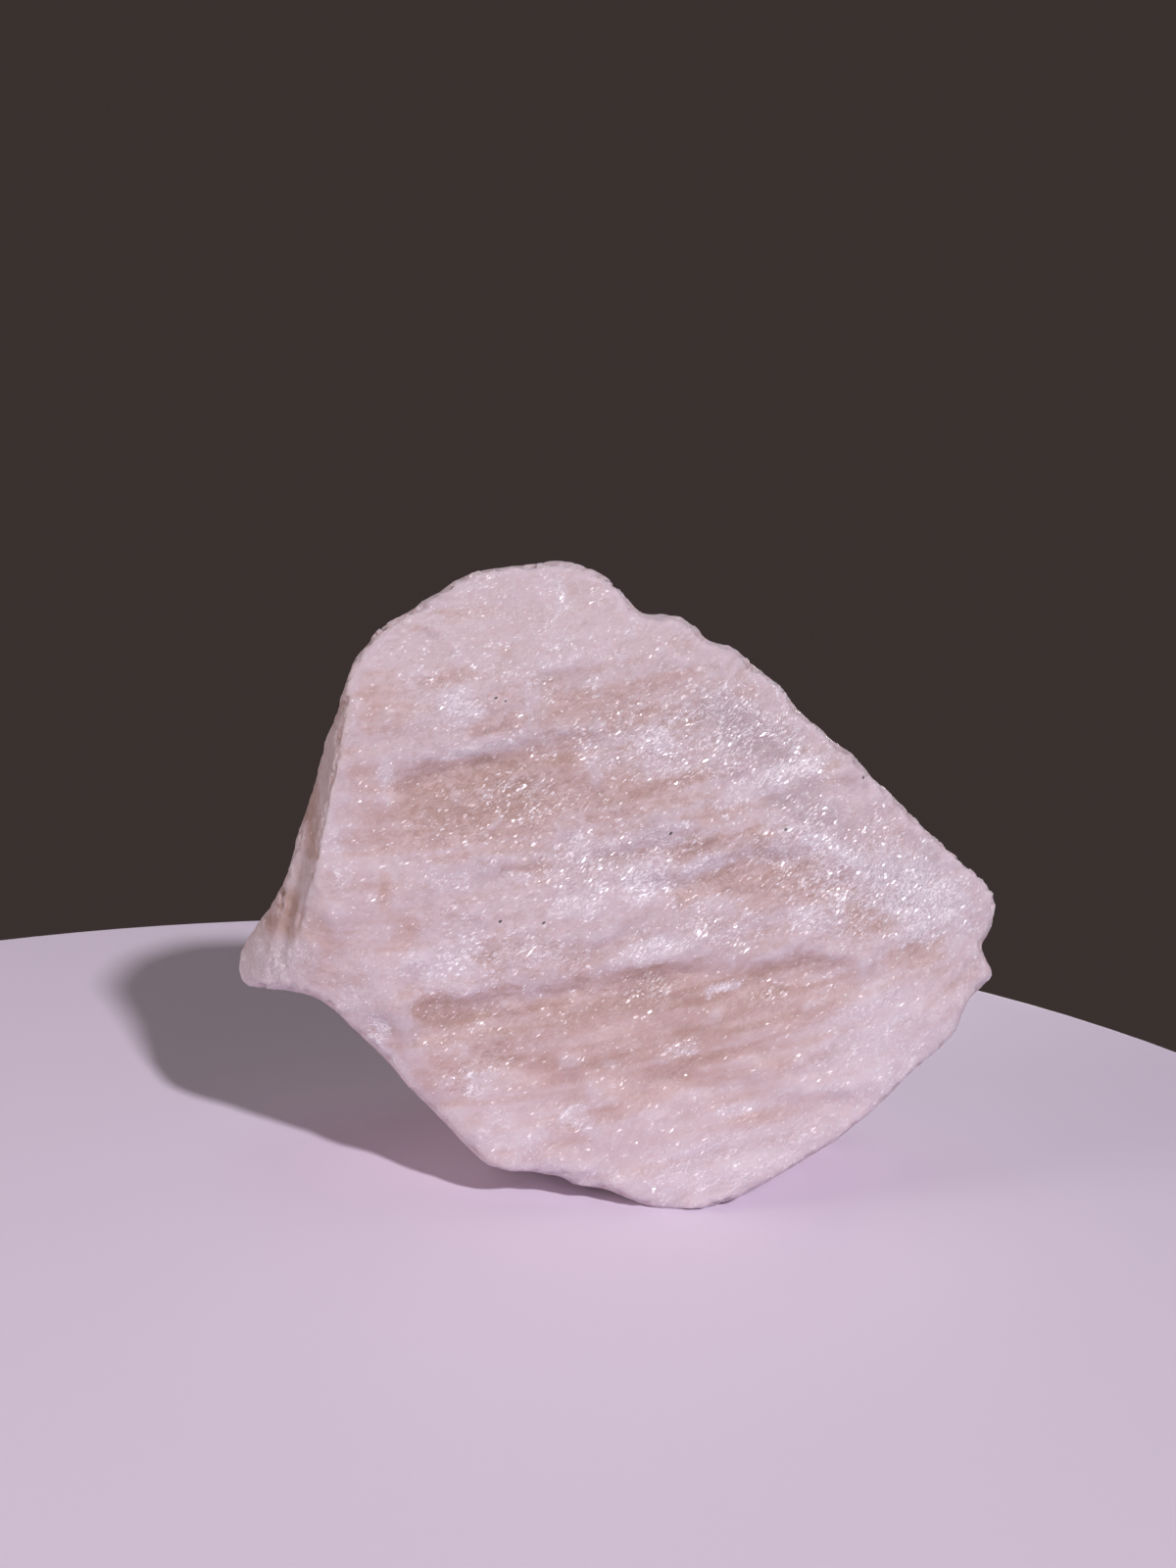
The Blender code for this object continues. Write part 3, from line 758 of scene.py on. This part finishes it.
def crystalMaterial():
    material, shader = newMaterial("cloudy_morganite")
    tree = material.node_tree
    found = crystalPatterns(tree)
    frost = frostPattern(tree, found)
    veils = addRange(tree, frost, crystalRanges["veils"])
    grainsAndPaintedGlints = sugarGrainsAndPaintedGlints(tree, found, veils)
    tree.links.new(crystalColor(tree, found, veils, grainsAndPaintedGlints), shader.inputs["Base Color"])

    # the grains are little flats with a tilt of their own, which catch the light as glints
    surface = addNode(tree, "ShaderNodeNewGeometry", {}).outputs["Normal"]
    tilt = addVector(tree, "SUBTRACT", {0: found["grainColor"], 1: crystal["grainUntilted"]})
    shine = addMath(tree, "ADD", found["clusters"], crystalShares["plainShine"])
    shine = addMath(tree, "MULTIPLY", found["glint"], shine)
    uneven = addMath(tree, "POWER", found["grainChance"], crystalShares["shinePower"])
    shine = addMath(tree, "MULTIPLY", shine, addRange(tree, uneven, crystalRanges["shine"]), True)
    tree.links.new(tiltedNormal(tree, surface, tilt), shader.inputs["Coat Normal"])
    tree.links.new(shine, shader.inputs["Coat Weight"])
    shader.inputs["Coat Roughness"].default_value = crystal["glintRoughness"]
    shader.inputs["Coat IOR"].default_value = crystal["glintIor"]

    # the broken surface is made of small flats too, each with its own slight tilt
    lean = addVector(tree, "SUBTRACT", {0: found["shardColor"], 1: crystal["shardUntilted"]})
    lean = addVector(tree, "SCALE", {0: lean, "Scale": crystalShares["shardTilt"]})
    grainHeight = addMath(tree, "MULTIPLY", grainsAndPaintedGlints, crystalShares["grainHeight"])
    fleckHeight = addMath(tree, "MULTIPLY", found["fleck"], crystalShares["fleckHeight"])
    crumbs = addMath(tree, "MULTIPLY", found["grainDistance"], found["glint"])
    crumbs = addMath(tree, "MULTIPLY", crumbs, found["calm"])
    crumbs = addMath(tree, "MULTIPLY", crumbs, crystalShares["crumbHeight"])
    height = addMath(tree, "SUBTRACT", addMath(tree, "ADD", grainHeight, fleckHeight), crumbs)
    bump = addNode(tree, "ShaderNodeBump", {
        "Height": height, "Normal": tiltedNormal(tree, surface, lean),
        "Strength": crystalShares["bump"], "Distance": crystalShares["bumpDepth"]})
    tree.links.new(bump.outputs[0], shader.inputs["Normal"])
    tree.links.new(addRange(tree, frost, crystalRanges["roughness"]), shader.inputs["Roughness"])
    shader.inputs["IOR"].default_value = crystal["ior"]

    white = addMath(tree, "MAXIMUM", grainsAndPaintedGlints, veils)
    tree.links.new(addRange(tree, white, crystalRanges["inside"]), shader.inputs["Subsurface Weight"])
    shader.inputs["Subsurface Radius"].default_value = crystal["spread"]
    shader.inputs["Subsurface Scale"].default_value = crystal["depth"]
    return material


stonePiece.data.materials.clear()
stonePiece.data.materials.append(crystalMaterial())
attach(stonePiece, stone["body"])
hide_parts(stone["node"])
print("stone finished")


# The pale round table top that the stone stands on

tableTop = {
    "middle": (-0.040, -0.035),   # metres, as its other sizes
    "radius": 0.130,
    "thickness": 0.012,
    "corners": 128,
    "edge": 0.003,                # how far its edge is rounded
    "edgeSteps": 5,
    "smoothUnder": math.radians(40.0),
    "color": (0.765, 0.67, 0.82, 1.0),
    "roughness": 0.6,
}

deselectAll()
bpy.ops.mesh.primitive_cylinder_add(
    vertices=tableTop["corners"], radius=tableTop["radius"], depth=tableTop["thickness"],
    location=(tableTop["middle"][0], tableTop["middle"][1], -tableTop["thickness"] / 2))
table = bpy.context.object
table.name = "table_top"
bpy.ops.object.transform_apply(location=True, rotation=True, scale=True)
applyModifier(table, "BEVEL", "roundEdge", width=tableTop["edge"], segments=tableTop["edgeSteps"])
bpy.ops.object.shade_smooth_by_angle(angle=tableTop["smoothUnder"])
tableMaterial, tableShader = newMaterial("pale_satin_table")
tableShader.inputs["Base Color"].default_value = tableTop["color"]
tableShader.inputs["Roughness"].default_value = tableTop["roughness"]
table.data.materials.append(tableMaterial)
print("table top ready")


# Light: a soft key from the front right, as the shadow says, and wide fills

# The direction that each lamp stands in, then metres, and watts
lamps = {
    "key": {
        "from": (0.452, -0.668, 0.592), "distance": 4.0,
        "size": 0.255, "power": 147.0, "tint": (1.0, 0.95, 1.0),
    },
    "leftFill": {
        "from": (-0.93, -0.28, 0.24), "distance": 0.8,
        "size": 0.45, "power": 2.9, "tint": (1.0, 0.90, 0.86),
    },
    "topFill": {
        "from": (0.10, 0.25, 0.96), "distance": 0.8,
        "size": 0.6, "power": 0.5, "tint": (0.95, 1.0, 0.95),
    },
    "backFill": {
        "from": (0.15, 0.97, -0.13), "distance": 0.9,
        "size": 0.36, "power": 3.0, "tint": (1.0, 0.97, 0.92),
    },
}
room = {
    "aim": (-0.003, 0.002, 0.028),          # near the middle of the stone, where the lamps point
    "color": (0.042, 0.031, 0.029, 1.0),    # dark all around
    "strength": 1.0,
}

for lampName, lamp in lamps.items():
    deselectAll()
    direction = Vector(lamp["from"]).normalized()
    bpy.ops.object.light_add(type="AREA", location=Vector(room["aim"]) + direction * lamp["distance"],
                             rotation=direction.to_track_quat("Z", "Y").to_euler())
    light = bpy.context.object
    light.name = lampName
    light.data.shape = "DISK"
    light.data.size = lamp["size"]
    light.data.energy = lamp["power"]
    light.data.color = lamp["tint"]

world = bpy.data.worlds.new("quiet_room")
bpy.context.scene.world = world
world.use_nodes = True
background = world.node_tree.nodes["Background"]
background.inputs["Color"].default_value = room["color"]
background.inputs["Strength"].default_value = room["strength"]
bpy.context.scene.view_settings.view_transform = "Standard"
print("lights ready")
